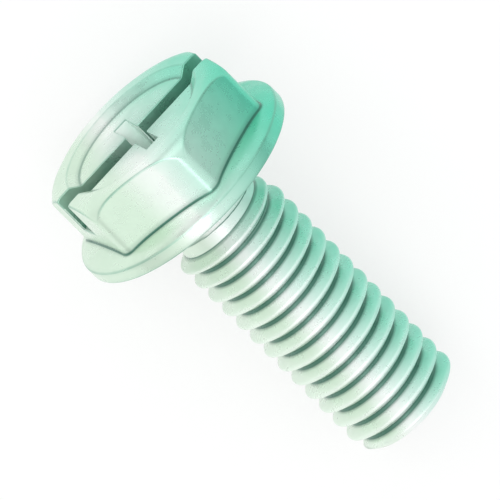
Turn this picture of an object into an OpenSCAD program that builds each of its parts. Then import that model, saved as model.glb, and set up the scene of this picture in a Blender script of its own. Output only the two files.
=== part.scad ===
// Hex washer head machine screw, No. 10-32 by 1/2 inch, with a slot and a cross recess.
// It lies on its side, at rest on the edge of its flange and on a thread crest near the point.
// In the screw's own frame Z is its axis, Z = 0 is the bearing face, the head is above and the
// shank is below. X is the side that faces up when the screw lies down.

/* [Thread] */
// Outside diameter of the thread
thread_d = 4.826; // [4.4:0.001:5.4]
// Distance between threads, 32 to the inch
pitch = 0.79375; // [0.6:0.00125:0.9]
// Length from the bearing face to the end of the point
shank_l = 12.7; // [8:0.1:25.4]
// Diameter of the plain neck under the flange
neck_d = 3.95; // [3.9:0.01:4.3]
// Length of the plain neck
neck_l = 1.2; // [0.7:0.1:3]
// Distance from the end of the neck to the start of the thread
thread_gap = 0.05; // [0.02:0.01:0.2]
// Part of a turn in which the thread rises out of the core
lead_in = 0.75; // [0.25:0.05:1]
// Chamfer at the end of the point
point_chamfer = 0.35; // [0.1:0.05:0.45]

/* [Flange] */
// Diameter of the flange
flange_d = 9.81; // [9.6:0.01:11]
// Distance from the thread's outside to the flat bearing face, where the fillet under the head begins
seat_gap = 0.04; // [0.02:0.01:0.2]
// Thickness of the flange at its edge
flange_t = 0.55; // [0.4:0.01:0.8]
// Height of the flange's crown above the bearing face
crown_h = 0.97; // [0.9:0.01:1.2]
// Radius of the crown's section
crown_r = 2.3; // [1.6:0.1:4]

/* [Hexagon] */
// Distance across the flats
flats_w = 7.75; // [7.4:0.01:8.2]
// Height of the head above the bearing face
head_h = 3.3; // [3:0.05:4]
// Radius on the upright edges between the flats
edge_r = 0.6; // [0.2:0.05:1]
// Radius of the shoulder between the flats and the rim
shoulder_r = 0.75; // [0.4:0.05:0.8]
// Turn of the hexagon about the axis
hex_turn = 9; // [0:1:60]

/* [Dish] */
// Diameter of the dish at the rim
dish_d = 6.5; // [6.2:0.05:6.6]
// Diameter of the dish at its floor
dish_floor_d = 5.7; // [5:0.05:6.1]
// Depth of the dish below the rim
dish_depth = 0.3; // [0.2:0.01:0.6]

/* [Drive] */
// Turn of the slot and the recess about the axis
drive_turn = 6; // [0:1:45]
// Width of the slot
slot_w = 1.1; // [0.8:0.05:1.4]
// Depth of the slot below the rim
slot_depth = 1.6; // [1.2:0.05:1.8]
// Distance across the wings of the recess, at the dish floor
recess_d = 3.8; // [3:0.05:4.2]
// Width of each wing
wing_w = 0.6; // [0.5:0.05:0.9]
// Depth of the recess below the dish floor
recess_depth = 1.9; // [1.5:0.05:2]
// Slope of the wings' ends, measured from the axis
recess_slope = 26.5; // [20:0.5:30]

/* [Hidden] */
finish_colour = "mediumaquamarine";
overlap = 0.2;

// A 60 degree thread, with a flat crest an eighth of the pitch wide
thread_r = thread_d / 2;
thread_depth = 0.6134 * pitch;
core_r = thread_r - thread_depth;
flank_l = thread_depth * tan(30);
crest_l = pitch / 8;
STEPS = 48;
step_turn = 360 / STEPS;
thread_start_l = neck_l + thread_gap;
thread_start_turn = 33 * step_turn;
spare_turns = 1.5;
steps_in_all = ceil((shank_l - thread_start_l) / pitch + spare_turns) * STEPS;
thread_end_l = thread_start_l + (steps_in_all / STEPS + 1) * pitch;
point_r = thread_r - point_chamfer;

// The fillet between the neck and the bearing face
neck_r = neck_d / 2;
seat_r = thread_r + seat_gap;
fillet_r = seat_r - neck_r;

// The rounded hexagon and the shoulder that is turned on it
flat_r = flats_w / 2;
edge_centre_r = (flat_r - edge_r) / cos(30);
corner_r = edge_centre_r + edge_r;
shoulder_x = corner_r - shoulder_r;
shoulder_z = head_h - shoulder_r;

// The crown's arc runs through the top of the flange's edge
flange_r = flange_d / 2;
crown_z = crown_h - crown_r;
crown_x = flange_r - sqrt(pow(crown_r, 2) - pow(flange_t - crown_z, 2));
dish_z = head_h - dish_depth;

// Where the screw touches the ground near its point, and the tilt that follows
UNDERSIDE = 180;
first_touch_l = thread_start_l + (thread_start_turn - UNDERSIDE) / 360 * pitch + flank_l + crest_l;
last_touch_l = shank_l - point_chamfer;
touch_l = first_touch_l + floor((last_touch_l - first_touch_l) / pitch) * pitch;
rest_tilt = atan2(flange_r - thread_r, touch_l);
head_reach = shoulder_x * sin(rest_tilt) + shoulder_z * cos(rest_tilt) + shoulder_r;
point_reach = point_r * sin(rest_tilt) + shank_l * cos(rest_tilt);

$fn = 96;

// Share of its full depth that the thread has after a number of steps
function thread_rise(i) = min(1, min(i, steps_in_all - i) / (lead_in * STEPS));

// A point of the helix, i steps along it, at a radius and a distance towards the point of the screw
function helix_point(i, r, down) =
    let (turn = thread_start_turn - i * step_turn)
    [r * cos(turn), r * sin(turn), -thread_start_l - i * pitch / STEPS - down];

// The four lines of the thread at a step: upper root, upper crest, lower crest, lower root
function thread_section(i) =
    let (r = core_r + thread_depth * thread_rise(i))
    [helix_point(i, core_r, 0),
     helix_point(i, r, flank_l),
     helix_point(i, r, flank_l + crest_l),
     helix_point(i, core_r, 2 * flank_l + crest_l)];

function ring_point(i, z) =
    let (turn = thread_start_turn - i * step_turn)
    [core_r * cos(turn), core_r * sin(turn), z];

// Two triangles over the strip between two lines, from step i to the next
function strip(a, b, i) = [[a(i), b(i + 1), a(i + 1)], [a(i), b(i), b(i + 1)]];

// The core with its helical thread, longer than the shank at both ends
module threaded_core() {
    last = steps_in_all;
    points = [
        for (i = [0 : last]) each thread_section(i),
        for (i = [0 : STEPS - 1]) ring_point(i, overlap),
        for (i = [0 : STEPS - 1]) ring_point(i, -thread_end_l)
    ];
    top = 4 * (last + 1);
    bottom = top + STEPS;
    line = [for (k = [0 : 3]) function (i) 4 * i + k];
    top_ring = function (i) top + i % STEPS;
    bottom_ring = function (i) bottom + i % STEPS;
    next_turn = function (i) line[0](i + STEPS);
    faces = [
        for (i = [0 : last - 1], k = [0 : 2]) each strip(line[k], line[k + 1], i),
        for (i = [0 : last - STEPS - 1]) each strip(line[3], next_turn, i),
        for (i = [0 : STEPS - 2]) each strip(top_ring, line[0], i),
        [line[0](STEPS - 1), line[0](STEPS), line[3](0), line[2](0), line[1](0), line[0](0),
         top_ring(0), top_ring(STEPS - 1)],
        for (i = [last - STEPS + 1 : last - 1]) each strip(line[3], bottom_ring, i),
        [line[3](last - STEPS), line[0](last), line[1](last), line[2](last), line[3](last),
         bottom_ring(last), bottom_ring(last + 1), line[3](last - STEPS + 1)],
        [for (i = [0 : STEPS - 1]) top_ring(i)],
        [for (i = [STEPS - 1 : -1 : 0]) bottom_ring(i)]
    ];
    polyhedron(points, faces);
}

// The threaded shank with its chamfered point
module shank() {
    reach = thread_r + overlap;
    intersection() {
        threaded_core();
        rotate_extrude()
            polygon([
                [0, overlap], [reach, overlap], [reach, point_chamfer + overlap - shank_l],
                [point_r, -shank_l], [0, -shank_l]
            ]);
    }
}

// The plain neck, with a round fillet under the flange
module neck() {
    rotate_extrude() {
        translate([0, -neck_l]) square([neck_r, neck_l + overlap]);
        difference() {
            translate([0, -fillet_r]) square([seat_r, fillet_r + overlap]);
            translate([seat_r, -fillet_r]) circle(r = fillet_r);
        }
    }
}

// The flange, flat below and crowned above
module flange() {
    rotate_extrude() {
        square([flange_r, flange_t]);
        intersection() {
            translate([0, flange_t]) square([flange_r, crown_h]);
            union() {
                translate([crown_x, crown_z]) circle(r = crown_r);
                square([crown_x, crown_h]);
            }
        }
    }
}

// The outline of the hexagon, with round corners
module hexagon_outline() {
    polygon([
        for (k = [0 : 5], side = [-1, 1])
            let (a = 60 * k, tangent = a + 30 * side)
            [edge_centre_r * cos(a) + edge_r * cos(tangent), edge_centre_r * sin(a) + edge_r * sin(tangent)]
    ]);
    for (k = [0 : 5])
        rotate(60 * k) translate([edge_centre_r, 0]) circle(r = edge_r);
}

// The hexagon, turned to a round shoulder at its top
module hexagon() {
    intersection() {
        rotate(hex_turn) linear_extrude(head_h) hexagon_outline();
        rotate_extrude() {
            square([corner_r + overlap, shoulder_z]);
            square([shoulder_x, head_h]);
            translate([shoulder_x, shoulder_z]) circle(r = shoulder_r);
        }
    }
}

// The shallow dish in the top of the head
module dish() {
    slope = (dish_d - dish_floor_d) / dish_depth;
    translate([0, 0, dish_z])
        cylinder(h = dish_depth + overlap, d1 = dish_floor_d, d2 = dish_d + slope * overlap);
}

// The slot, and the tapered cross recess in its middle
module drive() {
    reach = flange_d;
    bottom_r = recess_d / 2 - recess_depth * tan(recess_slope);
    translate([-slot_w / 2, -reach / 2, head_h - slot_depth]) cube([slot_w, reach, slot_depth + overlap]);
    intersection() {
        translate([0, 0, dish_z - recess_depth]) {
            translate([-recess_d / 2, -wing_w / 2, 0]) cube([recess_d, wing_w, recess_depth + overlap]);
            translate([-wing_w / 2, -recess_d / 2, 0]) cube([wing_w, recess_d, recess_depth + overlap]);
        }
        translate([0, 0, dish_z - recess_depth])
            cylinder(h = recess_depth + overlap, r1 = bottom_r,
                     r2 = recess_d / 2 + overlap * tan(recess_slope));
    }
}

// The whole screw in its own frame
module upright_screw() {
    shank();
    neck();
    difference() {
        union() {
            flange();
            hexagon();
        }
        dish();
        rotate(drive_turn) drive();
    }
}

// The screw as it lies on the ground, with its box centred over the origin
module screw() {
    color(finish_colour)
        translate([(head_reach - point_reach) / 2, 0, flange_r * cos(rest_tilt)])
            rotate([0, rest_tilt - 90, 0])
                upright_screw();
}

screw();
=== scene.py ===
"""The looks of a green zinc plated hex washer head machine screw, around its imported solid.

The screw is one closed mesh. Its shank is a thread profile spun along the helix, its head is a
stack of rings from the flange to the dish, and the slot and the cross recess are cut into it.
Sizes are in millimetres in the screw's own frame: Z is its axis, Z = 0 is the bearing face, the
head is above, the shank is below, and X is the side that faces up when the screw lies down.
"""

import logging
import math
from collections.abc import Callable
from dataclasses import dataclass
from enum import Enum

import bmesh
import bpy
from mathutils import Matrix, Vector

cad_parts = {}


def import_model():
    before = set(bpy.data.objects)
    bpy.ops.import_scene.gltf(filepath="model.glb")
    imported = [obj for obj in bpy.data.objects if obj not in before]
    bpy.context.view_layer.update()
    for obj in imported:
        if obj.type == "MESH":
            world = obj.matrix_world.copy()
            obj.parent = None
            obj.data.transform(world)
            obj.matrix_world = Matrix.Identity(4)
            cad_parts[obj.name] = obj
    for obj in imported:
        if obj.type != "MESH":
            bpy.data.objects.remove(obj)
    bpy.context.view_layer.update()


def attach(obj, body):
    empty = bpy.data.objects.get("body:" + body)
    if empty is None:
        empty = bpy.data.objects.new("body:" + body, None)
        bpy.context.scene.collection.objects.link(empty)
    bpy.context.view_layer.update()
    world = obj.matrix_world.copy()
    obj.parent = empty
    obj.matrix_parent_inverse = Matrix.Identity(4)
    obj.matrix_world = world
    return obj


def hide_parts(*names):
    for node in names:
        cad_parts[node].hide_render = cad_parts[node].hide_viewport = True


LOG = logging.getLogger("screw")
METRES = 0.001
TURN = 2 * math.pi
THREAD_HALF_ANGLE = math.radians(30)
HEX_SIDES = 6
HEX_STEP = math.radians(60)
# Facets of a rounding, and the millimetres below which two points or two heights are the same
ROUND_STEPS = 4
SAME_POINT = 0.001
SAME_HEIGHT = 0.01
# Values that the mesh stores at each point for its finishes: how sharp an edge is, and how much painted
# shade a crease, a thread root or the drive gets
EDGE_LAYER, SHADE_LAYER = "sharp_edge", "painted_shade"
# Kinds of socket, and the places of a mix node's sockets for colours
COLOUR, VALUE, VECTOR = "NodeSocketColor", "NodeSocketFloat", "NodeSocketVector"
MIX_INPUTS, MIX_RESULT = (0, 6, 7), 2

Section = Callable[[float], Vector]


class Zone(Enum):
    """The parts of the screw's surface that were made in different ways."""

    HEAD = 0
    THREAD = 1
    POINT = 2
    DRIVE = 3


def level(radius: float, height: float) -> Section:
    """A section point that is the same all round the axis."""
    return lambda angle: Vector((radius, height))


def curve_point(start: Vector, corner: Vector, end: Vector, share: float) -> Vector:
    """A point of the curve that leaves start and reaches end along the lines to a corner."""
    return start.lerp(corner, share).lerp(corner.lerp(end, share), share)


def rounding(start: Section, corner: Section, end: Section) -> list[Section]:
    """Section points of a rounded corner.

    Args:
        start: The point where the rounding begins.
        corner: The sharp corner that it replaces.
        end: The point where the rounding ends.

    Returns:
        The points from start to end, with both.
    """
    def at(share: float) -> Section:
        return lambda angle: curve_point(start(angle), corner(angle), end(angle), share)

    return [at(step / ROUND_STEPS) for step in range(ROUND_STEPS + 1)]


def straight(start: Section, end: Section, steps: int) -> list[Section]:
    """Section points between two others, without the two.

    Args:
        start: The point before the first.
        end: The point after the last.
        steps: The number of facets between start and end.

    Returns:
        The points between them, in order.
    """
    def at(share: float) -> Section:
        return lambda angle: start(angle).lerp(end(angle), share)

    return [at(step / steps) for step in range(1, steps)]


def soft_step(share: float) -> float:
    """A smooth rise from 0 to 1."""
    share = min(1.0, max(0.0, share))
    return share * share * (3 - 2 * share)


def around(radius: float, angle: float, height: float) -> Vector:
    """A point given by its radius, its angle about the axis and its height."""
    return Vector((radius * math.cos(angle), radius * math.sin(angle), height))


def turn_of(place: Vector) -> float:
    """The angle of a point about the axis."""
    return math.atan2(place.y, place.x)


def as_mesh(bm: bmesh.types.BMesh, name: str) -> bpy.types.Mesh:
    """Turns a finished working mesh into a named one, and frees it."""
    mesh = bpy.data.meshes.new(name)
    bm.to_mesh(mesh)
    bm.free()
    return mesh


def add_object(name: str, data: bpy.types.ID) -> bpy.types.Object:
    """Puts a mesh, a lamp or a camera into the scene, as an object."""
    added = bpy.data.objects.new(name, data)
    bpy.context.scene.collection.objects.link(added)
    return added


def ring_edges(bm: bmesh.types.BMesh, ring: list[bmesh.types.BMVert]) -> list[bmesh.types.BMEdge]:
    """The edges of a closed ring of vertices, in order."""
    return [bm.edges.get(pair) for pair in zip(ring, ring[1:] + ring[:1])]


def grow_ring(bm: bmesh.types.BMesh, ring: list[bmesh.types.BMVert],
              places: list[Vector]) -> list[bmesh.types.BMVert]:
    """Extrudes a ring into the next one.

    Args:
        bm: The mesh that grows.
        ring: The vertices of its open ring, in order.
        places: Where each vertex of the next ring goes.

    Returns:
        The vertices of the next ring, in the same order.
    """
    grown = bmesh.ops.extrude_edge_only(bm, edges=ring_edges(bm, ring))
    fresh = {item for item in grown["geom"] if isinstance(item, bmesh.types.BMVert)}
    following = []
    for vert, place in zip(ring, places):
        others = (edge.other_vert(vert) for edge in vert.link_edges)
        other = next(candidate for candidate in others if candidate in fresh)
        other.co = place
        following.append(other)
    return following


def carve(body: bpy.types.Mesh, cutter: bpy.types.Mesh) -> bpy.types.Mesh:
    """Cuts one closed mesh out of another.

    Args:
        body: The mesh that is cut.
        cutter: The closed mesh that is taken away.

    Returns:
        A new mesh.
    """
    held, tool = add_object("held", body), add_object("tool", cutter)
    cut = held.modifiers.new("cut", "BOOLEAN")
    cut.operation = "DIFFERENCE"
    cut.solver = "EXACT"
    cut.object = tool
    graph = bpy.context.evaluated_depsgraph_get()
    carved = bpy.data.meshes.new_from_object(held.evaluated_get(graph))
    bpy.data.objects.remove(held)
    bpy.data.objects.remove(tool)
    return carved


@dataclass(frozen=True)
class Shank:
    """The neck, the rolled thread and the chamfered point, in millimetres.

    The thread has one start and turns to the right. It rises out of the core below the neck.
    """

    thread_d: float = 4.826
    pitch: float = 0.79375
    depth_share: float = 0.6134
    length: float = 12.7
    neck_d: float = 3.95
    neck_l: float = 1.2
    neck_fade: float = 0.1
    thread_gap: float = 0.05
    start_turn: float = 247.5 / 360
    lead_in: float = 0.75
    chamfer: float = 0.35
    seat_gap: float = 0.04
    crest_round: float = 0.07
    chamfer_round: float = 0.04
    end_round: float = 0.06
    end_dish: float = 0.03
    end_radii: tuple[float, ...] = (1.8, 1.5, 1.1, 0.7, 0.3, 0.0)
    snap: float = 0.02
    weld: float = 0.004
    columns: int = 240
    fillet_steps: int = 8

    @property
    def thread_r(self) -> float:
        """Radius of the thread's outside."""
        return self.thread_d / 2

    @property
    def depth(self) -> float:
        """Depth of the thread."""
        return self.depth_share * self.pitch

    @property
    def core_r(self) -> float:
        """Radius of the thread's root."""
        return self.thread_r - self.depth

    @property
    def point_r(self) -> float:
        """Radius of the chamfer at the end."""
        return self.thread_r - self.chamfer

    @property
    def seat_r(self) -> float:
        """Radius where the flat bearing face begins."""
        return self.thread_r + self.seat_gap

    @property
    def fillet_r(self) -> float:
        """Radius of the fillet under the flange."""
        return self.seat_r - self.neck_d / 2

    @property
    def thread_start(self) -> float:
        """Distance from the bearing face to the start of the thread."""
        return self.neck_l + self.thread_gap

    @property
    def half_crest(self) -> float:
        """Half of the width of the thread's crest before it is rounded."""
        return self.pitch / 16

    @property
    def half_flat(self) -> float:
        """Half of the width of the crest's flat, between its rounded edges."""
        return self.half_crest - self.crest_round * math.tan(THREAD_HALF_ANGLE)

    @property
    def root_round(self) -> float:
        """Radius that rounds the whole root."""
        return self.pitch / 12 / math.tan(THREAD_HALF_ANGLE)

    @property
    def crest_middle(self) -> float:
        """Distance down from the upper root to the middle of the crest."""
        return self.depth * math.tan(THREAD_HALF_ANGLE) + self.half_crest

    def drop(self, off: float) -> float:
        """How far the full thread lies below its outside.

        Args:
            off: Distance along the axis from the middle of a crest, up to half of the pitch.

        Returns:
            The drop in millimetres, from 0 at the crest to the depth at the root.
        """
        flat, turned = self.half_flat, math.cos(THREAD_HALF_ANGLE)
        if off <= flat:
            return 0.0
        if off < flat + self.crest_round * turned:
            return self.crest_round - math.sqrt(self.crest_round ** 2 - (off - flat) ** 2)
        from_root = self.pitch / 2 - off
        if from_root < self.root_round * turned:
            return self.depth - self.root_round + math.sqrt(self.root_round ** 2 - from_root ** 2)
        return (off - self.half_crest) / math.tan(THREAD_HALF_ANGLE)

    def rows(self) -> list[float]:
        """Distances down from the upper root at which the profile has a point, over one pitch."""
        turns = [math.radians(degrees) for degrees in (0, 20, 40, 60)]
        crest = [self.half_flat + self.crest_round * math.sin(turn) for turn in turns]
        root = [self.pitch / 2 - self.root_round * math.sin(turn) for turn in turns]
        near_ends = (0.2, 0.8)
        flank = [crest[-1] + share * (root[-1] - crest[-1]) for share in near_ends]
        offs = crest + flank + root[::-1]
        downs = {round((self.crest_middle + side * off) % self.pitch, 5)
                 for off in offs for side in (-1, 1)}
        return sorted(downs)

    def radius(self, angle: float, height: float) -> float:
        """Radius of the shank's surface.

        Args:
            angle: Angle about the axis, in radians.
            height: Height above the bearing face, so below zero.

        Returns:
            The radius in millimetres.
        """
        lead = (self.start_turn - angle / TURN) % 1
        down = (-height - self.thread_start) / self.pitch - lead
        lap = math.floor(down)
        risen = min(1.0, max(0.0, (lap + lead) / self.lead_in))
        off = abs((down - lap) * self.pitch - self.crest_middle)
        drop = self.drop(min(off, self.pitch - off))
        thread = self.core_r + risen * (self.depth - drop)
        bare = soft_step((-height - self.neck_l) / self.neck_fade)
        neck = self.neck_d / 2 + bare * (self.core_r - self.neck_d / 2)
        chamfer = self.point_r + height + self.length
        outer = max(thread, neck)
        meet = max(0.0, self.chamfer_round - abs(outer - chamfer)) / self.chamfer_round
        return min(outer, chamfer) - meet ** 2 * self.chamfer_round / 4

    def spin_thread(self, bm: bmesh.types.BMesh) -> None:
        """Spins one pitch of the profile through a turn and repeats it past both ends of the shank.

        Args:
            bm: An empty mesh.
        """
        rows = self.rows()
        lowest = math.ceil((self.length - self.thread_start) / self.pitch - self.start_turn)
        bottom = -self.thread_start - (self.start_turn + lowest) * self.pitch
        laps = math.ceil((-self.fillet_r - bottom) / self.pitch) + 1
        downs = rows + [rows[0] + self.pitch]
        last = bmesh.ops.create_vert(bm, co=(self.thread_r, 0, bottom - downs[0]))["vert"][0]
        for down in downs[1:]:
            last = bmesh.ops.extrude_vert_indiv(bm, verts=[last])["verts"][0]
            last.co.z = bottom - down
        bmesh.ops.spin(bm, geom=bm.verts[:] + bm.edges[:], cent=(0, 0, 0), axis=(0, 0, 1),
                       dvec=(0, 0, self.pitch / self.columns), angle=TURN, steps=self.columns,
                       use_merge=False, use_duplicate=False)
        turn = bm.verts[:] + bm.edges[:] + bm.faces[:]
        for lap in range(1, laps):
            copied = bmesh.ops.duplicate(bm, geom=turn)["geom"]
            moved = [item for item in copied if isinstance(item, bmesh.types.BMVert)]
            bmesh.ops.translate(bm, vec=(0, 0, lap * self.pitch), verts=moved)

    def shape_thread(self, bm: bmesh.types.BMesh) -> None:
        """Moves the spun sheet onto the shank's surface and closes its laps.

        Args:
            bm: The mesh that spin_thread made.
        """
        column = TURN / self.columns
        lowest, highest = -self.length + self.end_round, -self.fillet_r
        for vert in bm.verts:
            angle = round(turn_of(vert.co) / column) * column
            height = highest if vert.co.z > highest - self.snap else vert.co.z
            height = lowest if vert.co.z < lowest + self.snap else height
            vert.co = around(self.radius(angle, height), angle, height)
        bmesh.ops.remove_doubles(bm, verts=bm.verts, dist=self.weld)

    def end_ring(self, bm: bmesh.types.BMesh, height: float) -> list[bmesh.types.BMVert]:
        """The vertices of the open ring at a height, in order round the axis."""
        rim = {vert for edge in bm.edges if edge.is_boundary for vert in edge.verts
               if abs(vert.co.z - height) < SAME_HEIGHT}
        return sorted(rim, key=lambda vert: turn_of(vert.co))

    def close_point(self, bm: bmesh.types.BMesh) -> None:
        """Rounds the end of the point and closes it with a shallow dish.

        Args:
            bm: The mesh of the shank.
        """
        bottom = -self.length
        ring = self.end_ring(bm, bottom + self.end_round)
        angles = [turn_of(vert.co) for vert in ring]
        outers = [vert.co.xy.length for vert in ring]
        for step in range(1, ROUND_STEPS + 1):
            places = []
            for angle, outer in zip(angles, outers):
                inner = self.radius(angle, bottom)
                start = Vector((outer, bottom + self.end_round))
                end = Vector((inner - self.end_round, bottom))
                spot = curve_point(start, Vector((inner, bottom)), end, step / ROUND_STEPS)
                places.append(around(spot.x, angle, spot.y))
            ring = grow_ring(bm, ring, places)
        for radius in self.end_radii:
            height = bottom + self.end_dish * soft_step(1 - radius / self.end_radii[0])
            ring = grow_ring(bm, ring, [around(radius, angle, height) for angle in angles])
        bmesh.ops.remove_doubles(bm, verts=ring, dist=SAME_POINT)

    def open_fillet(self, bm: bmesh.types.BMesh) -> None:
        """Grows the fillet from the neck to the start of the bearing face.

        Args:
            bm: The mesh of the shank.
        """
        ring = self.end_ring(bm, -self.fillet_r)
        angles = [turn_of(vert.co) for vert in ring]
        for step in range(1, self.fillet_steps + 1):
            turn = TURN / 4 * step / self.fillet_steps
            radius = self.seat_r - self.fillet_r * math.cos(turn)
            height = (math.sin(turn) - 1) * self.fillet_r
            ring = grow_ring(bm, ring, [around(radius, angle, height) for angle in angles])
        support = self.seat_r + self.seat_gap
        grow_ring(bm, ring, [around(support, angle, 0) for angle in angles])

    def build(self, bm: bmesh.types.BMesh) -> None:
        """Builds the shank, open at the bearing face.

        Args:
            bm: An empty mesh.
        """
        self.spin_thread(bm)
        self.shape_thread(bm)
        self.close_point(bm)
        self.open_fillet(bm)
        for face in bm.faces:
            face.smooth = True


@dataclass(frozen=True)
class Hexagon:
    """The outline of the hexagon with its rounded edges, in millimetres."""

    flats_w: float = 7.75
    edge_r: float = 0.6
    turn: float = math.radians(9)

    @property
    def flat_r(self) -> float:
        """Distance from the axis to a flat."""
        return self.flats_w / 2

    @property
    def edge_centre_r(self) -> float:
        """Distance from the axis to the centre of a rounded edge."""
        return (self.flat_r - self.edge_r) / math.cos(HEX_STEP / 2)

    @property
    def corner_r(self) -> float:
        """Distance from the axis to the middle of a rounded edge."""
        return self.edge_centre_r + self.edge_r

    @property
    def edge_angle(self) -> float:
        """Half of the angle that a rounded edge takes, seen from the axis."""
        return math.atan2(self.edge_r * math.sin(HEX_STEP / 2),
                          self.edge_centre_r + self.edge_r * math.cos(HEX_STEP / 2))

    def radius(self, angle: float) -> float:
        """Distance from the axis to the outline.

        Args:
            angle: Angle about the axis, in radians.

        Returns:
            The radius in millimetres.
        """
        off = abs((angle - self.turn + HEX_STEP / 2) % HEX_STEP - HEX_STEP / 2)
        if off < self.edge_angle:
            across = self.edge_centre_r * math.sin(off)
            return self.edge_centre_r * math.cos(off) + math.sqrt(self.edge_r ** 2 - across ** 2)
        return self.flat_r / math.cos(HEX_STEP / 2 - off)


@dataclass(frozen=True)
class Drive:
    """The slot and the tapered cross recess, in millimetres."""

    turn: float = math.radians(6)
    slot_w: float = 1.1
    slot_depth: float = 1.6
    recess_d: float = 3.8
    wing_w: float = 0.6
    recess_depth: float = 1.9
    recess_slope: float = math.radians(26.5)
    edge_round: float = 0.045
    edge_steps: int = 3

    @property
    def slot_angle(self) -> float:
        """Direction of the slot, about the axis."""
        return self.turn + TURN / 4

    def wall_angle(self, direction: float, side: int, radius_at: Callable[[float], float]) -> float:
        """Where a wall of the slot crosses a ring.

        Args:
            direction: The angle of the slot's end.
            side: -1 or 1, for the wall before or after that angle.
            radius_at: The ring's radius at an angle.

        Returns:
            The angle of the crossing.
        """
        angle, passes = direction, 6
        for _ in range(passes):
            angle = direction + side * math.asin(self.slot_w / 2 / radius_at(angle))
        return angle

    def cutter(self, mouth: float) -> bpy.types.Mesh:
        """A closed cross whose wings get shorter towards the bottom.

        Args:
            mouth: The height at which the recess has its full width.

        Returns:
            A mesh that is taken out of the head.
        """
        spare, upright = 0.5, 0.5
        bottom, top = mouth - self.recess_depth, mouth + spare
        bm = bmesh.new()
        bmesh.ops.create_cube(bm, size=1)
        bmesh.ops.scale(bm, vec=(self.wing_w, self.wing_w, top - bottom), verts=bm.verts)
        bmesh.ops.translate(bm, vec=(0, 0, (top + bottom) / 2), verts=bm.verts)
        sides = [face for face in bm.faces if abs(face.normal.z) < upright]
        for face in bmesh.ops.extrude_discrete_faces(bm, faces=sides)["faces"]:
            outward = face.normal.copy()
            for vert in face.verts:
                reach = self.recess_d / 2 + (vert.co.z - mouth) * math.tan(self.recess_slope)
                vert.co += outward * (reach - self.wing_w / 2)
        bmesh.ops.rotate(bm, matrix=Matrix.Rotation(self.turn, 3, "Z"), verts=bm.verts)
        return as_mesh(bm, "recess_cutter")


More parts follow.
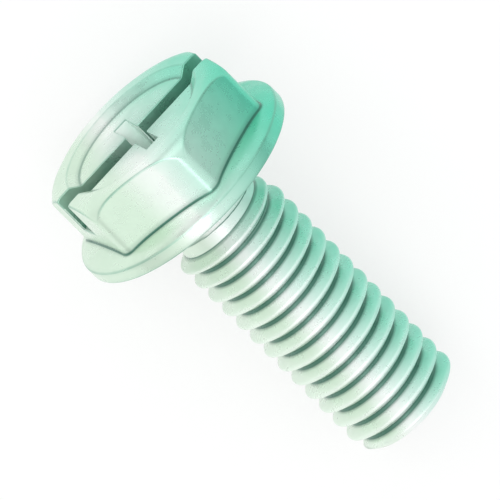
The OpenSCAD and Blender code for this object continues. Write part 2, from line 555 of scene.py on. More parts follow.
@dataclass(frozen=True)
class Head:
    """The flange, the hexagon, its round shoulder and the dish, in millimetres."""

    hexagon: Hexagon = Hexagon()
    drive: Drive = Drive()
    flange_d: float = 9.81
    flange_t: float = 0.55
    crown_h: float = 0.97
    crown_r: float = 2.3
    height: float = 3.3
    shoulder_r: float = 0.75
    dish_d: float = 6.5
    dish_floor_d: float = 5.7
    dish_depth: float = 0.3
    flange_round: float = 0.07
    base_fillet: float = 0.09
    crease_round: float = 0.06
    rim_round: float = 0.06
    support: float = 0.04
    edge_steps: int = 10
    flat_steps: tuple[int, int, int] = (9, 8, 13)
    flange_rows: int = 3
    crown_rows: int = 7
    wall_rows: tuple[int, int] = (4, 5)
    shoulder_rows: int = 9
    dish_rows: int = 3

    @property
    def flange_r(self) -> float:
        """Radius of the flange."""
        return self.flange_d / 2

    @property
    def crown_z(self) -> float:
        """Height of the centre of the crown's arc."""
        return self.crown_h - self.crown_r

    @property
    def crown_x(self) -> float:
        """Radius at which the centre of the crown's arc lies."""
        return self.flange_r - math.sqrt(self.crown_r ** 2 - (self.flange_t - self.crown_z) ** 2)

    @property
    def shoulder_x(self) -> float:
        """Radius at which the centre of the shoulder's arc lies."""
        return self.hexagon.corner_r - self.shoulder_r

    @property
    def dish_z(self) -> float:
        """Height of the dish's floor."""
        return self.height - self.dish_depth

    @property
    def slot_floor_z(self) -> float:
        """Height of the slot's floor."""
        return self.height - self.drive.slot_depth

    def crown_height(self, radius: float) -> float:
        """Height of the flange's crown at a radius."""
        return self.crown_z + math.sqrt(self.crown_r ** 2 - (radius - self.crown_x) ** 2)

    def on_crown(self, radius: float) -> Section:
        """The point of the crown at a radius that is the same all round."""
        return level(radius, self.crown_height(radius))

    def beside_flat(self, out: float, up: float) -> Section:
        """A point near the foot of the hexagon, out from the wall on the crown or up the wall."""
        def at(angle: float) -> Vector:
            radius = self.hexagon.radius(angle) + out
            return Vector((radius, self.crown_height(radius) + up))

        return at

    def on_flat(self, height: float) -> Section:
        """The point of the hexagon's wall at a height."""
        return lambda angle: Vector((self.hexagon.radius(angle), height))

    def crease_turn(self, angle: float) -> float:
        """How far round the shoulder's arc its crease with the hexagon lies, in radians."""
        return math.acos(min(1.0, (self.hexagon.radius(angle) - self.shoulder_x) / self.shoulder_r))

    def below_crease(self, down: float) -> Section:
        """A point of the hexagon's wall below the crease with the shoulder."""
        def at(angle: float) -> Vector:
            rise = self.shoulder_r * math.sin(self.crease_turn(angle))
            height = self.height - self.shoulder_r + rise - down
            return Vector((self.hexagon.radius(angle), height))

        return at

    def on_shoulder(self, share: float) -> Section:
        """A point of the shoulder, from the end of the crease's rounding to the top."""
        def at(angle: float) -> Vector:
            start = self.crease_turn(angle) + self.crease_round / self.shoulder_r
            turn = start + share * (TURN / 4 - start)
            return Vector((self.shoulder_x + self.shoulder_r * math.cos(turn),
                           self.height - self.shoulder_r + self.shoulder_r * math.sin(turn)))

        return at

    def flange_sections(self) -> list[Section]:
        """Section points from the bearing face over the flange's edge to the foot of the hexagon."""
        edge, round_r = self.flange_r, self.flange_round
        inner, upper = edge - round_r, self.flange_t - round_r
        sections = [level(inner - self.support, 0)]
        sections += rounding(level(inner, 0), level(edge, 0), level(edge, round_r))
        sections += straight(level(edge, round_r), level(edge, upper), self.flange_rows)
        sections += rounding(level(edge, upper), level(edge, self.flange_t), self.on_crown(inner))
        foot = self.beside_flat(self.base_fillet, 0)

        def on_crown_at(share: float) -> Section:
            def at(angle: float) -> Vector:
                radius = inner + share * (foot(angle).x - inner)
                return Vector((radius, self.crown_height(radius)))

            return at

        sections += [on_crown_at(step / self.crown_rows) for step in range(1, self.crown_rows)]
        wall = self.beside_flat(0, self.base_fillet)
        return sections + rounding(foot, self.beside_flat(0, 0), wall)

    def flat_sections(self) -> tuple[list[Section], list[Section]]:
        """Section points of the hexagon's wall, below the slot's floor and from it to the crease."""
        floor = self.on_flat(self.slot_floor_z)
        foot = self.beside_flat(0, self.base_fillet)
        support = self.below_crease(self.crease_round + self.support)
        crease = self.below_crease(self.crease_round)
        lower = straight(foot, floor, self.wall_rows[0])
        upper = [floor, *straight(floor, support, self.wall_rows[1]), support]
        return lower, upper + rounding(crease, self.below_crease(0), self.on_shoulder(0))

    def top_sections(self) -> list[Section]:
        """Section points over the shoulder and the rim, down to the floor of the dish."""
        rim_r, floor_r = self.dish_d / 2, self.dish_floor_d / 2
        wall = Vector((floor_r - rim_r, -self.dish_depth)).normalized() * self.rim_round
        rim, foot = Vector((rim_r, self.height)), Vector((floor_r, self.dish_z))
        wall_start, wall_end = level(*(rim + wall)), level(*(foot - wall))
        rim_start = level(rim_r + self.rim_round, self.height)
        floor_start = level(floor_r - self.rim_round, self.dish_z)
        rows = self.shoulder_rows
        sections = [self.on_shoulder(step / rows) for step in range(1, rows + 1)]
        sections.append(level(rim_r + self.rim_round + self.support, self.height))
        sections += rounding(rim_start, level(*rim), wall_start)
        sections += straight(wall_start, wall_end, self.dish_rows)
        sections += rounding(wall_end, level(*foot), floor_start)
        sections.append(level(floor_r - self.rim_round - self.support, self.dish_z))
        return sections

    def column_angles(self, section: Section) -> list[float]:
        """The angle of each column on a ring.

        The columns are finer over the hexagon's rounded edges, and two of them follow the walls of
        the slot at each of its ends.

        Args:
            section: The ring's section point.

        Returns:
            One angle for each column, rising.
        """
        half_edge = self.hexagon.edge_angle
        opposite = HEX_SIDES // 2
        angles = []
        for corner in range(HEX_SIDES):
            middle = self.hexagon.turn + corner * HEX_STEP
            start, end = middle + half_edge, middle + HEX_STEP - half_edge
            knots = [(middle - half_edge, start, self.edge_steps)]
            if corner % opposite == 1:
                direction = self.drive.slot_angle + (corner // opposite) * TURN / 2
                walls = [self.drive.wall_angle(direction, side, lambda a: section(a).x)
                         for side in (-1, 1)]
                stops = [start, *walls, end]
                knots += list(zip(stops, stops[1:], self.flat_steps))
            else:
                knots.append((start, end, sum(self.flat_steps)))
            for low, high, steps in knots:
                angles += [low + (high - low) * step / steps for step in range(steps)]
        return angles

    def wall_columns(self) -> list[tuple[int, int]]:
        """The columns that follow the slot's two walls, at each of its ends."""
        sector = self.edge_steps + sum(self.flat_steps)
        first = sector + self.edge_steps + self.flat_steps[0]
        starts = (first, first + HEX_SIDES // 2 * sector)
        return [(start, start + self.flat_steps[1]) for start in starts]

    def ring_places(self, section: Section) -> list[Vector]:
        """Where the vertices of a ring go."""
        places = []
        for angle in self.column_angles(section):
            radius, height = section(angle)
            places.append(around(radius, angle, height))
        return places

    def cut_slot(self, bm: bmesh.types.BMesh, rings: list[list[bmesh.types.BMVert]]) -> None:
        """Opens the slot between its wall columns, and closes its walls, its floor and the dish.

        Args:
            bm: The mesh of the head.
            rings: Its rings, from the one at the slot's floor up to the last of the dish.
        """
        (near_a, near_b), (far_b, far_a) = self.wall_columns()
        count = len(rings[0])
        spans, walls = ((near_a, near_b), (far_b, far_a)), ((near_a, far_a), (near_b, far_b))
        gone = []
        for lower, upper in zip(rings, rings[1:]):
            for first, last in spans:
                gone += [bm.faces.get((lower[k], lower[k + 1], upper[k + 1], upper[k]))
                         for k in range(first, last)]
        bmesh.ops.delete(bm, geom=gone, context="FACES")
        floor, dish = rings[0], rings[-1]
        for near, far in walls:
            base = bmesh.ops.contextual_create(bm, geom=[floor[near], floor[far]])["edges"]
            chord = bmesh.ops.contextual_create(bm, geom=[dish[near], dish[far]])["edges"]
            wall = [bm.edges.get((lower[column], upper[column]))
                    for lower, upper in zip(rings, rings[1:]) for column in (near, far)]
            bmesh.ops.edgeloop_fill(bm, edges=base + chord + wall)
        for start, end in ((near_b, far_b), (far_a, near_a + count)):
            arc = [bm.edges.get((dish[k % count], dish[(k + 1) % count])) for k in range(start, end)]
            chord = bm.edges.get((dish[start % count], dish[end % count]))
            bmesh.ops.edgeloop_fill(bm, edges=arc + [chord])
        ends = [bm.edges.get((floor[k], floor[k + 1])) for first, last in spans
                for k in range(first, last)]
        bases = [bm.edges.get((floor[near], floor[far])) for near, far in walls]
        bmesh.ops.edgeloop_fill(bm, edges=ends + bases)

    def blank(self) -> bpy.types.Mesh:
        """The head with its slot, closed below by one flat face."""
        lower, upper = self.flat_sections()
        below = self.flange_sections() + lower
        sections = below + upper + self.top_sections()
        bm = bmesh.new()
        places = self.ring_places(sections[0])
        ring = bmesh.ops.create_circle(bm, segments=len(places), radius=1)["verts"]
        for vert, place in zip(ring, places):
            vert.co = place
        bmesh.ops.edgeloop_fill(bm, edges=ring_edges(bm, ring))
        rings = [ring]
        for section in sections[1:]:
            rings.append(grow_ring(bm, rings[-1], self.ring_places(section)))
        self.cut_slot(bm, rings[len(below):])
        bmesh.ops.recalc_face_normals(bm, faces=bm.faces)
        return as_mesh(bm, "head_blank")

    def soften(self, bm: bmesh.types.BMesh) -> None:
        """Rounds the convex edges of the slot and the recess, and shades their flat faces flat.

        Args:
            bm: The mesh of the cut head.
        """
        sharp = math.radians(40)
        edges = [edge for edge in bm.edges
                 if edge.is_manifold and edge.calc_face_angle_signed() > sharp]
        bmesh.ops.bevel(bm, geom=edges, offset=self.drive.edge_round, offset_type="OFFSET",
                        segments=self.drive.edge_steps, profile=0.5, affect="EDGES",
                        clamp_overlap=False, loop_slide=True, material=-1)
        wide = 0.06
        for face in bm.faces:
            face.smooth = face.calc_area() < wide
        for edge in bm.edges:
            if edge.is_manifold and edge.calc_face_angle_signed() < -sharp:
                edge.smooth = False

    def build(self, bm: bmesh.types.BMesh) -> None:
        """Builds the head, open at the bearing face.

        Args:
            bm: A mesh to which the head is added.
        """
        head = bmesh.new()
        head.from_mesh(carve(self.blank(), self.drive.cutter(self.dish_z)))
        self.soften(head)
        underside = [face for face in head.faces
                     if len(face.verts) > 4 and face.calc_center_median().z < SAME_POINT]
        bmesh.ops.delete(head, geom=underside, context="FACES")
        bm.from_mesh(as_mesh(head, "head_finished"))


@dataclass(frozen=True)
class Screw:
    """The whole screw, lying on the edge of its flange and on a thread crest near its point."""

    name: str = "screw_metal"
    shank: Shank = Shank()
    head: Head = Head()

    @property
    def rest_tilt(self) -> float:
        """Angle between the screw's axis and the ground, in radians."""
        shank, underside = self.shank, 0.5
        lowest_crest = shank.depth * math.tan(THREAD_HALF_ANGLE) + 2 * shank.half_crest
        first = shank.thread_start + (shank.start_turn - underside) * shank.pitch + lowest_crest
        laps = math.floor((shank.length - shank.chamfer - first) / shank.pitch)
        touch = first + laps * shank.pitch
        return math.atan2(self.head.flange_r - shank.thread_r, touch)

    @property
    def placement(self) -> Matrix:
        """The way from the screw's own frame in millimetres to where it lies, in millimetres."""
        tilt, head, shank = self.rest_tilt, self.head, self.shank
        sine, cosine = math.sin(tilt), math.cos(tilt)
        shoulder_z = head.height - head.shoulder_r
        head_reach = head.shoulder_x * sine + shoulder_z * cosine + head.shoulder_r
        point_reach = shank.point_r * sine + shank.length * cosine
        shift = Vector(((head_reach - point_reach) / 2, 0, head.flange_r * cosine))
        return Matrix.Translation(shift) @ Matrix.Rotation(tilt - TURN / 4, 4, "Y")

    def join(self, bm: bmesh.types.BMesh) -> None:
        """Closes the bearing face between the shank and the head.

        Args:
            bm: The mesh that holds both, each open there.
        """
        rims = [edge for edge in bm.edges if edge.is_boundary]
        bmesh.ops.bridge_loops(bm, edges=rims)
        bmesh.ops.recalc_face_normals(bm, faces=bm.faces)

    def mark_zones(self, bm: bmesh.types.BMesh) -> None:
        """Gives each face the material of its zone."""
        least_depth, facing_down = 0.05, -0.9
        end = -self.shank.length + self.shank.end_round
        for face in bm.faces:
            middle = face.calc_center_median()
            if self.in_drive(middle) > least_depth:
                zone = Zone.DRIVE
            elif middle.z > -self.shank.fillet_r:
                zone = Zone.HEAD
            elif face.normal.z < facing_down and middle.z < end:
                zone = Zone.POINT
            else:
                zone = Zone.THREAD
            face.material_index = zone.value

    def in_drive(self, place: Vector) -> float:
        """How deep a point lies in the slot or the recess, from 0 at the dish to 1 at the bottom."""
        head, drive, spare = self.head, self.head.drive, SAME_HEIGHT
        across = Vector((math.cos(drive.turn), math.sin(drive.turn))).dot(place.xy)
        in_slot = abs(across) < drive.slot_w / 2 + spare and place.z > head.slot_floor_z - spare
        inside = place.z > head.crown_h and place.xy.length < head.dish_floor_d / 2
        if not (in_slot or inside):
            return 0.0
        return max(0.0, (head.dish_z - place.z) / drive.recess_depth)

    def mark_curvature(self, bm: bmesh.types.BMesh) -> None:
        """Stores how sharply each point bends outwards, for the edge tint, and how much painted shade
        it gets from bending inwards or lying deep in the slot or recess.

        Args:
            bm: The whole screw, in millimetres.
        """
        sharp = bm.verts.layers.float.new(EDGE_LAYER)
        painted_shade = bm.verts.layers.float.new(SHADE_LAYER)
        least_bend, full_bend, full_dip, shortest = 2.0, 10.0, 9.0, 0.015
        for vert in bm.verts:
            bends = [0.0]
            for edge in vert.link_edges:
                along = edge.other_vert(vert).co - vert.co
                if along.length > shortest:
                    bends.append(-2 * vert.normal.dot(along) / along.length_squared)
            vert[sharp] = soft_step((max(bends) - least_bend) / (full_bend - least_bend))
            # Painted shade: darker in concave creases and thread roots, and deeper down the slot and
            # the recess
            vert[painted_shade] = min(1.0, max(self.in_drive(vert.co), -min(bends) / full_dip))

    def build(self, finishes: list[bpy.types.Material]) -> bpy.types.Object:
        """Builds the screw where it lies.

        Args:
            finishes: One material for each zone, in the order of Zone.

        Returns:
            The screw's object, at the origin.
        """
        bm = bmesh.new()
        self.shank.build(bm)
        self.head.build(bm)
        self.join(bm)
        bm.normal_update()
        self.mark_zones(bm)
        self.mark_curvature(bm)
        bmesh.ops.transform(bm, matrix=Matrix.Scale(METRES, 4) @ self.placement, verts=bm.verts)
        mesh = as_mesh(bm, self.name)
        for finish in finishes:
            mesh.materials.append(finish)
        LOG.info("%s: %d faces", self.name, len(mesh.polygons))
        return add_object(self.name, mesh)


@dataclass(frozen=True)
class Pattern:
    """A noise: its scale per millimetre, its octaves and how much the finer ones count."""

    scale: float
    detail: float
    rough: float = 0.5


class Desk:
    """Lays out and links the nodes of one tree."""

    def __init__(self, tree: bpy.types.NodeTree) -> None:
        """Takes the tree to fill."""
        self.tree = tree

    def add(self, kind: str, **settings: object) -> bpy.types.Node:
        """Adds a node and sets its properties."""
        node = self.tree.nodes.new(kind)
        for name, value in settings.items():
            setattr(node, name, value)
        return node

    def feed(self, socket: bpy.types.NodeSocket, source: object) -> None:
        """Links an output to a socket, or sets the socket's value."""
        if isinstance(source, bpy.types.NodeSocket):
            self.tree.links.new(source, socket)
        else:
            socket.default_value = source

    def fill(self, node: bpy.types.Node, sources: dict[str, object]) -> None:
        """Feeds a node's inputs by their names."""
        for name, source in sources.items():
            self.feed(node.inputs[name], source)

    def fill_in_order(self, node: bpy.types.Node, *sources: object) -> None:
        """Feeds a node's first inputs in order, where their names are alike."""
        for socket, source in zip(node.inputs, sources):
            self.feed(socket, source)

    def math(self, operation: str, *sources: object, clamp: bool = False) -> bpy.types.NodeSocket:
        """Adds a math node and returns its value."""
        node = self.add("ShaderNodeMath", operation=operation, use_clamp=clamp)
        self.fill_in_order(node, *sources)
        return node.outputs["Value"]

    def ramp(self, source: bpy.types.NodeSocket, low: float, high: float,
             to_low: float = 0.0, to_high: float = 1.0) -> bpy.types.NodeSocket:
        """Adds a smooth map from one range to another and returns its result."""
        node = self.add("ShaderNodeMapRange", interpolation_type="SMOOTHSTEP")
        self.fill(node, {"Value": source, "From Min": low, "From Max": high,
                         "To Min": to_low, "To Max": to_high})
        return node.outputs["Result"]

    def mix(self, share: object, first: object, second: object) -> bpy.types.NodeSocket:
        """Adds a colour mix and returns its colour."""
        node = self.add("ShaderNodeMix", data_type="RGBA", clamp_factor=True)
        for place, source in zip(MIX_INPUTS, (share, first, second)):
            self.feed(node.inputs[place], source)
        return node.outputs[MIX_RESULT]

    def noise(self, vector: bpy.types.NodeSocket, pattern: Pattern) -> bpy.types.NodeSocket:
        """Adds a noise texture and returns its value."""
        node = self.add("ShaderNodeTexNoise")
        self.fill(node, {"Vector": vector, "Scale": pattern.scale, "Detail": pattern.detail,
                         "Roughness": pattern.rough})
        return node.outputs["Fac"]

    def layer(self, name: str) -> bpy.types.NodeSocket:
        """Adds a reader of a value that the mesh stores at each point, and returns the value."""
        return self.add("ShaderNodeAttribute", attribute_name=name).outputs["Fac"]


class Group(Desk):
    """Lays out a node group between its own inputs and outputs."""

    def __init__(self, name: str, inputs: dict[str, str], outputs: dict[str, str]) -> None:
        """Makes the group and its named sockets.

        Args:
            name: The group's name.
            inputs: For each input its kind of socket.
            outputs: For each output its kind of socket.
        """
        super().__init__(bpy.data.node_groups.new(name, "ShaderNodeTree"))
        for side, sockets in (("INPUT", inputs), ("OUTPUT", outputs)):
            for label, kind in sockets.items():
                self.tree.interface.new_socket(name=label, in_out=side, socket_type=kind)
        self.start = self.add("NodeGroupInput")
        self.end = self.add("NodeGroupOutput")


@dataclass(frozen=True)
class SharedEffects:
    """The node groups that the screw's finishes share.

    The painted shading's limits are places across the screw, from -1 at its pale, lit side to 1 at its
    deep, shaded side.
    """

    placement: Matrix
    clouds: Pattern = Pattern(0.55, 3.0)
    cloud_mean: float = 0.5
    marks: Pattern = Pattern(2.2, 2.0)
    grain: Pattern = Pattern(7.0, 1.0, 0.4)
    patches: Pattern = Pattern(0.8, 2.0)
    pale_end: float = -0.5
    highlight_start: float = -0.15
    deep_start: float = -0.12
    patch_range: tuple[float, float] = (0.3, 0.65)
    patch_least: float = 0.6

    def screw_space(self) -> bpy.types.NodeTree:
        """The point in the screw's own millimetres, and how far it lies across the screw."""
        group = Group("screw_space", {}, {"Point": VECTOR, "Side": VALUE})
        inverse = self.placement.inverted()
        mapping = group.add("ShaderNodeMapping", vector_type="POINT")
        group.fill(mapping, {
            "Vector": group.add("ShaderNodeTexCoord").outputs["Object"],
            "Location": inverse.to_translation(), "Rotation": inverse.to_euler(),
            "Scale": (1 / METRES,) * 3})
        parts = group.add("ShaderNodeSeparateXYZ")
        group.fill(parts, {"Vector": mapping.outputs["Vector"]})
        group.fill(group.end, {"Point": mapping.outputs["Vector"], "Side": parts.outputs["Y"]})
        return group.tree

    def mottle_and_painted_shading(self) -> bpy.types.NodeTree:
        """The green colour with painted shading across the screw, from a pale lit side through a
        painted highlight band to a deeper shaded side, mottled at random.
        """
        group = Group("mottle_and_painted_shading", {
            "Point": VECTOR, "Side": VALUE, "Half Width": VALUE, "Pale": COLOUR, "Highlight Band": COLOUR,
            "Deep": COLOUR, "Mottle": VALUE, "Onset": VALUE}, {"Color": COLOUR})
        given = group.start.outputs
        cloud = group.noise(given["Point"], self.clouds)
        off_mean = group.math("SUBTRACT", cloud, self.cloud_mean)
        wander = group.math("MULTIPLY", off_mean, given["Mottle"])
        across = group.math("DIVIDE", given["Side"], given["Half Width"])
        place = group.math("ADD", across, wander)
        # Painted shading: from the pale lit side through a painted highlight band to the deeper shaded
        # side
        highlight_share = group.ramp(place, self.pale_end, self.highlight_start)
        light = group.mix(highlight_share, given["Pale"], given["Highlight Band"])
        past = group.math("SUBTRACT", place, self.deep_start)
        depth = group.math("DIVIDE", past, 1 - self.deep_start, clamp=True)
        share = group.math("POWER", depth, given["Onset"])
        group.fill(group.end, {"Color": group.mix(share, light, given["Deep"])})
        return group.tree

    def edge_tint(self) -> bpy.types.NodeTree:
        """A colour that changes on sharp edges, and a painted shade that darkens creases, thread roots
        and the inside of the slot and recess.
        """
        group = Group("edge_tint", {
            "Color": COLOUR, "Point": VECTOR, "Edge": COLOUR, "Shade Colour": COLOUR, "Tint": VALUE,
            "Painted Shade": VALUE}, {"Color": COLOUR})
        given = group.start.outputs
        patch = group.ramp(group.noise(given["Point"], self.patches), *self.patch_range,
                           self.patch_least, 1.0)
        # A pale edge colour paints a highlight along sharp edges and thread crests; a dark one paints a
        # darker line along them
        edge = group.math("MULTIPLY", group.layer(EDGE_LAYER), patch)
        tint = group.math("MULTIPLY", edge, given["Tint"])
        # Painted shade in creases, thread roots and the drive
        painted_shade = group.math("MULTIPLY", group.layer(SHADE_LAYER), given["Painted Shade"])
        tinted = group.mix(tint, given["Color"], given["Edge"])
        group.fill(group.end, {"Color": group.mix(painted_shade, tinted, given["Shade Colour"])})
        return group.tree

    def fine_relief(self) -> bpy.types.NodeTree:
        """Height of the plating's grain and of the marks that the dies left."""
        group = Group("fine_relief", {
            "Point": VECTOR, "Stretch": VECTOR, "Grain": VALUE, "Marks": VALUE}, {"Height": VALUE})
        given = group.start.outputs
        stretched = group.add("ShaderNodeVectorMath", operation="MULTIPLY")
        group.fill_in_order(stretched, given["Point"], given["Stretch"])
        marks = group.noise(stretched.outputs["Vector"], self.marks)
        grain = group.noise(given["Point"], self.grain)
        total = group.math("ADD", group.math("MULTIPLY", grain, given["Grain"]),
                           group.math("MULTIPLY", marks, given["Marks"]))
        group.fill(group.end, {"Height": total})
        return group.tree

    def groups(self) -> dict[str, bpy.types.NodeTree]:
        """Makes all the groups, and returns them by name."""
        made = (self.screw_space(), self.mottle_and_painted_shading(), self.edge_tint(), self.fine_relief())
        return {tree.name: tree for tree in made}


@dataclass(frozen=True)
class GreenZinc:
    """Green chromate over bright zinc on cold formed steel.

    The half width is the distance from the axis, in millimetres, at which the painted shading is
    deepest.
    """

    name: str
    # Pale lit side, painted highlight band and deeper shaded side of the painted shading across the
    # screw
    pale: tuple[float, float, float] = (0.67, 0.84, 0.69)
    highlight_band: tuple[float, float, float] = (0.87, 0.94, 0.89)
    deep: tuple[float, float, float] = (0.09, 0.65, 0.45)
    # Pale edge colour: a painted highlight along sharp edges and thread crests. The next colour is the
    # painted shade of creases, thread roots and the drive.
    edge: tuple[float, float, float] = (0.88, 0.96, 0.92)
    shade_colour: tuple[float, float, float] = (0.02, 0.15, 0.10)
    half_width: float = 2.5
    onset: float = 1.0
    mottle: float = 0.12
    metallic: float = 0.6
    roughness: float = 0.32
    roughness_swing: float = 0.1
    wear: Pattern = Pattern(1.3, 4.0, 0.6)
    wear_range: tuple[float, float] = (0.3, 0.7)
    coat: float = 0.25
    coat_roughness: float = 0.25
    stretch: tuple[float, float, float] = (1.0, 1.0, 1.0)
    grain: float = 0.25
    marks: float = 0.6
    relief: float = 0.16
    relief_height: float = 0.05
    edge_tint: float = 0.5
    painted_shade: float = 0.5

    def material(self, effects: dict[str, bpy.types.NodeTree]) -> bpy.types.Material:
        """Makes the finish's material.

        Args:
            effects: The shared node groups by name.

        Returns:
            The material.
        """
        finish = bpy.data.materials.new(self.name)
        finish.use_nodes = True
        desk = Desk(finish.node_tree)
        groups = {key: desk.add("ShaderNodeGroup", node_tree=tree) for key, tree in effects.items()}
        hue, edges, relief = groups["mottle_and_painted_shading"], groups["edge_tint"], groups["fine_relief"]
        space = groups["screw_space"].outputs
        desk.fill(hue, {
            "Point": space["Point"], "Side": space["Side"], "Half Width": self.half_width,
            "Pale": (*self.pale, 1), "Highlight Band": (*self.highlight_band, 1), "Deep": (*self.deep, 1),
            "Mottle": self.mottle, "Onset": self.onset})
        desk.fill(edges, {
            "Color": hue.outputs["Color"], "Point": space["Point"], "Edge": (*self.edge, 1),
            "Shade Colour": (*self.shade_colour, 1), "Tint": self.edge_tint, "Painted Shade": self.painted_shade})
        desk.fill(relief, {
            "Point": space["Point"], "Stretch": self.stretch, "Grain": self.grain,
            "Marks": self.marks})
        bump = desk.add("ShaderNodeBump")
        desk.fill(bump, {
            "Strength": self.relief, "Distance": self.relief_height * METRES,
            "Height": relief.outputs["Height"]})
        cloud = desk.noise(space["Point"], self.wear)
        smoothest = self.roughness - self.roughness_swing
        roughest = self.roughness + self.roughness_swing
        desk.fill(finish.node_tree.nodes["Principled BSDF"], {
            "Base Color": edges.outputs["Color"], "Metallic": self.metallic,
            "Roughness": desk.ramp(cloud, *self.wear_range, smoothest, roughest),
            "Normal": bump.outputs["Normal"], "Coat Weight": self.coat,
            "Coat Roughness": self.coat_roughness})
        return finish


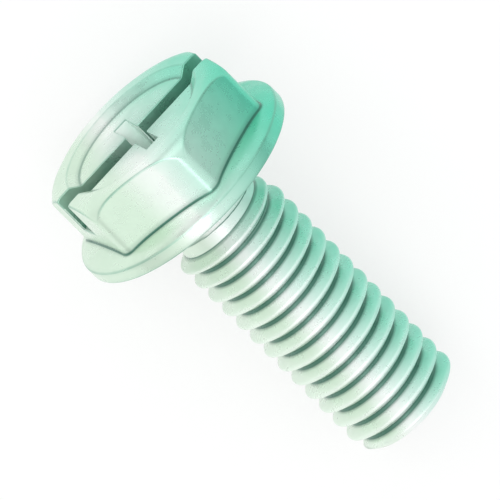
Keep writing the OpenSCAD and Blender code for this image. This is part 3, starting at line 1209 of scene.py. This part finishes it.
@dataclass(frozen=True)
class Studio:
    """A white floor, soft lamps and a camera that looks along the picture's view.

    The view is a parallel one. It is given by the angle between the line to the camera and the
    screw's axis, by the picture's scale and by the point at the picture's middle.
    """

    screw: Screw
    view_angle: float = math.radians(69)
    pixels: float = 500.0
    pixels_per_mm: float = 26.38
    middle_along: float = 3.362
    middle_across: float = -0.038
    distance: float = 0.25
    clip_start: float = 0.001
    floor_size: float = 0.6
    floor_colour: tuple[float, float, float] = (0.93, 0.935, 0.93)
    floor_roughness: float = 0.8
    floor_specular: float = 0.2
    floor_lift: float = 0.7
    sky_high: float = 0.98
    sky_low: float = 0.45
    sky_high_from: float = 0.7
    sky_far_side: float = 0.88
    sky_side_range: tuple[float, float] = (-0.6, 0.9)
    lamp_distance: float = 0.3
    key_angle: float = math.radians(16)
    key_size: tuple[float, float] = (0.5, 0.13)
    key_power: float = 0.34
    fill_direction: tuple[float, float, float] = (-0.8, 0.45, 0.5)
    fill_size: tuple[float, float] = (0.3, 0.3)
    fill_power: float = 0.09

    @property
    def rise(self) -> float:
        """Angle of the line to the camera above the ground on the head's side, in radians."""
        return self.view_angle + self.screw.rest_tilt

    @property
    def towards_camera(self) -> Vector:
        """Direction from the screw to the camera."""
        return Vector((-math.cos(self.rise), 0, math.sin(self.rise)))

    @property
    def along(self) -> Vector:
        """Direction in the picture that the shank runs in."""
        return Vector((math.sin(self.rise), 0, math.cos(self.rise)))

    def camera(self) -> bpy.types.Object:
        """Makes the scene's camera, turned so that the shank runs down to the right."""
        data = bpy.data.cameras.new("camera")
        data.type = "ORTHO"
        data.ortho_scale = self.pixels / self.pixels_per_mm * METRES
        data.clip_start = self.clip_start
        across = Vector((0, 1, 0))
        right = (self.along + across).normalized()
        up = (across - self.along).normalized()
        turned = Matrix((right, up, self.towards_camera)).transposed().to_4x4()
        bearing = self.screw.placement.to_translation()
        middle = bearing + self.along * self.middle_along + across * self.middle_across
        place = middle * METRES + self.towards_camera * self.distance
        camera = add_object("camera", data)
        camera.matrix_world = Matrix.Translation(place) @ turned
        bpy.context.scene.camera = camera
        return camera

    def looked_at(self, desk: Desk) -> bpy.types.NodeSocket:
        """A mask of 1 for the rays that see a surface, directly or in metal or glass."""
        rays = desk.add("ShaderNodeLightPath").outputs
        mirrored = desk.math("MAXIMUM", rays["Is Glossy Ray"], rays["Is Transmission Ray"])
        return desk.math("MAXIMUM", rays["Is Camera Ray"], mirrored)

    def floor_paint(self) -> bpy.types.Material:
        """Makes a paint that is lifted towards white where a ray looks at it."""
        paint = bpy.data.materials.new("floor_paint")
        paint.use_nodes = True
        desk, nodes = Desk(paint.node_tree), paint.node_tree.nodes
        shader = nodes["Principled BSDF"]
        desk.fill(shader, {
            "Base Color": (*self.floor_colour, 1), "Roughness": self.floor_roughness,
            "Specular IOR Level": self.floor_specular})
        white, blend = desk.add("ShaderNodeEmission"), desk.add("ShaderNodeMixShader")
        lift = desk.math("MULTIPLY", self.looked_at(desk), self.floor_lift)
        desk.fill_in_order(blend, lift, shader.outputs["BSDF"], white.outputs["Emission"])
        desk.fill(nodes["Material Output"], {"Surface": blend.outputs["Shader"]})
        return paint

    def floor(self) -> bpy.types.Object:
        """Makes the white floor, which keeps a soft shadow."""
        bm = bmesh.new()
        bmesh.ops.create_grid(bm, x_segments=1, y_segments=1, size=self.floor_size)
        mesh = as_mesh(bm, "floor")
        mesh.materials.append(self.floor_paint())
        floor = add_object("floor", mesh)
        return floor

    def lamp(self, name: str, direction: Vector, size: tuple[float, float],
             power: float) -> bpy.types.Object:
        """Makes a soft lamp that faces the screw.

        Args:
            name: The lamp's name.
            direction: The way from the screw to the lamp.
            size: Its size along the screw and across it, in metres.
            power: Its power in watts.

        Returns:
            The lamp's object.
        """
        data = bpy.data.lights.new(name, "AREA")
        data.shape = "RECTANGLE"
        data.size, data.size_y = size
        data.energy = power
        back = direction.normalized()
        side = Vector((1, 0, 0))
        right = (side - back * side.dot(back)).normalized()
        turned = Matrix((right, back.cross(right), back)).transposed().to_4x4()
        lamp = add_object(name, data)
        lamp.matrix_world = Matrix.Translation(back * self.lamp_distance) @ turned
        return lamp

    def sky(self) -> None:
        """Makes a pale world, brightest overhead and dimmer on the deep side.

        Below the floor it is white.
        """
        world = bpy.data.worlds.new("sky")
        bpy.context.scene.world = world
        world.use_nodes = True
        desk = Desk(world.node_tree)
        parts = desk.add("ShaderNodeSeparateXYZ")
        desk.fill(parts, {"Vector": desk.add("ShaderNodeTexCoord").outputs["Generated"]})
        across, up = parts.outputs["Y"], parts.outputs["Z"]
        side = desk.ramp(across, *self.sky_side_range, 1.0, self.sky_far_side)
        height = desk.ramp(up, 0.0, self.sky_high_from, self.sky_low, self.sky_high)
        above = desk.math("MULTIPLY", side, height)
        below = desk.math("LESS_THAN", up, 0.0)
        desk.fill(world.node_tree.nodes["Background"], {
            "Color": (1, 1, 1, 1), "Strength": desk.math("MAXIMUM", above, below)})

    def build(self) -> None:
        """Makes the camera, the floor, the lamps and the world."""
        self.camera()
        self.floor()
        self.sky()
        key = (self.towards_camera * math.cos(self.key_angle)
               - Vector((0, 1, 0)) * math.sin(self.key_angle))
        self.lamp("key_strip", key, self.key_size, self.key_power)
        self.lamp("head_fill", Vector(self.fill_direction), self.fill_size, self.fill_power)
        bpy.context.scene.view_settings.view_transform = "Standard"


def main() -> None:
    """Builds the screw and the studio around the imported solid."""
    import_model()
    screw = Screw()
    groups = SharedEffects(screw.placement).groups()
    # The finishes paint light and shade into colour: shading across the screw with a highlight band,
    # shade in creases, roots and the drive, and a painted highlight on pale edges; the head's edges get
    # a darker line instead
    finishes = {
        Zone.HEAD: GreenZinc("green_zinc_head", edge=(0.16, 0.42, 0.31), half_width=4.2, onset=0.62,
                             edge_tint=0.7, painted_shade=0.95),
        Zone.THREAD: GreenZinc("green_zinc_thread", pale=(0.77, 0.90, 0.78), highlight_band=(0.93, 0.97, 0.95),
                               deep=(0.19, 0.75, 0.56), metallic=0.3, coat=0.1, stretch=(0.5, 0.5, 5.0),
                               edge_tint=0.2, painted_shade=0.95),
        Zone.POINT: GreenZinc("green_zinc_point", roughness=0.45, marks=1.0, relief=0.5),
        Zone.DRIVE: GreenZinc("green_zinc_drive", half_width=4.2, onset=0.62, roughness=0.4,
                              stretch=(5.0, 0.6, 5.0), marks=0.9, painted_shade=0.3),
    }
    piece = screw.build([finishes[zone].material(groups) for zone in Zone])
    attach(piece, "root")
    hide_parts("screw")
    Studio(screw).build()


if __name__ == "__main__":
    logging.basicConfig(level=logging.INFO)
    main()
